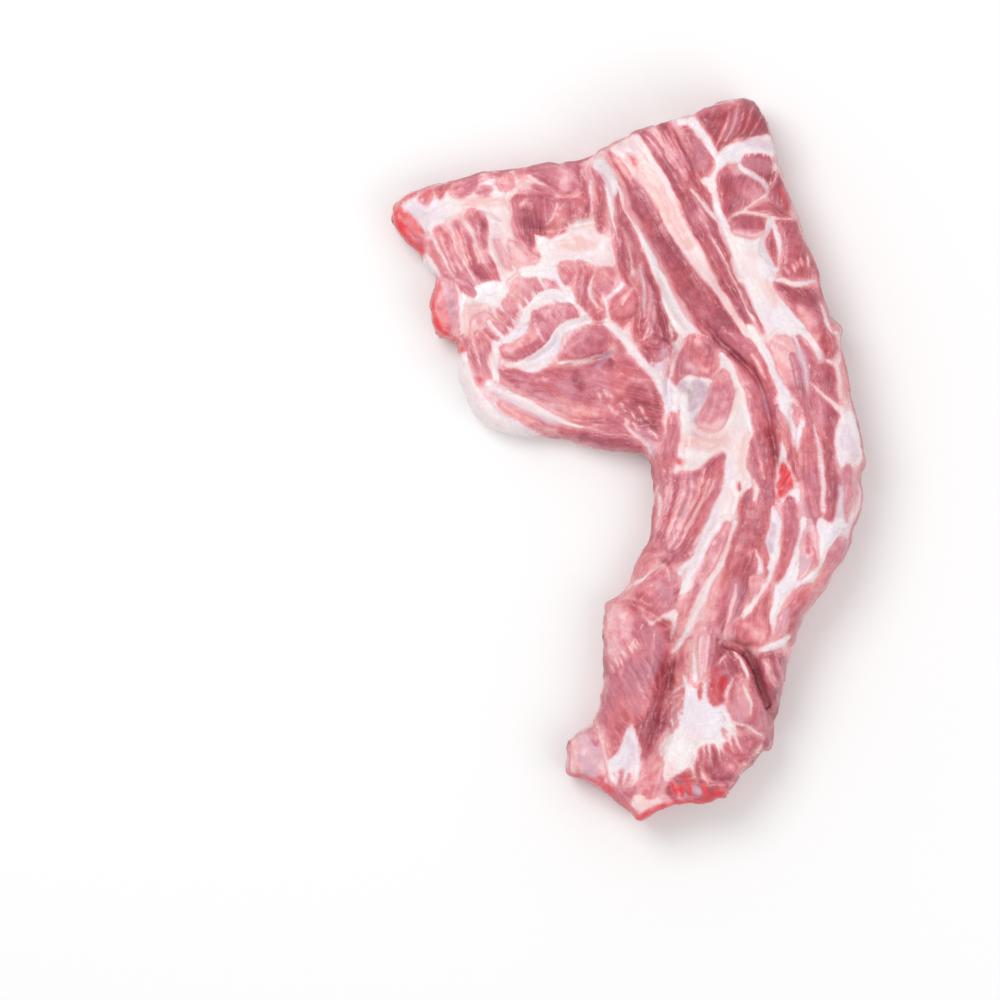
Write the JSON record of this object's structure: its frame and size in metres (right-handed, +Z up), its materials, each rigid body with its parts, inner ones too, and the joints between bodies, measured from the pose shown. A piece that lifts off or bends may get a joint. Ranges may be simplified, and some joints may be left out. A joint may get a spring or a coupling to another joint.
{
  "type": "raw pork backbone and rib piece",
  "caption": "Raw pork backbone strip with a meaty flap and two sawn rib stubs, laid flat, inner side up.",
  "frame": {"origin": "centre of the bounding box's bottom face, on the surface the meat lies on", "axes": "+X from the rib flap towards the back, +Y towards the wide sawn end, +Z up from the flat underside"},
  "size_m": [0.2384, 0.3616, 0.0547],
  "materials": {
    "meat": null,
    "bone": null
  },
  "bodies": {
    "root": {"meat": "meat", "backbone": "bone", "rib_upper": "bone", "rib_lower": "bone"}
  },
  "joints": []
}
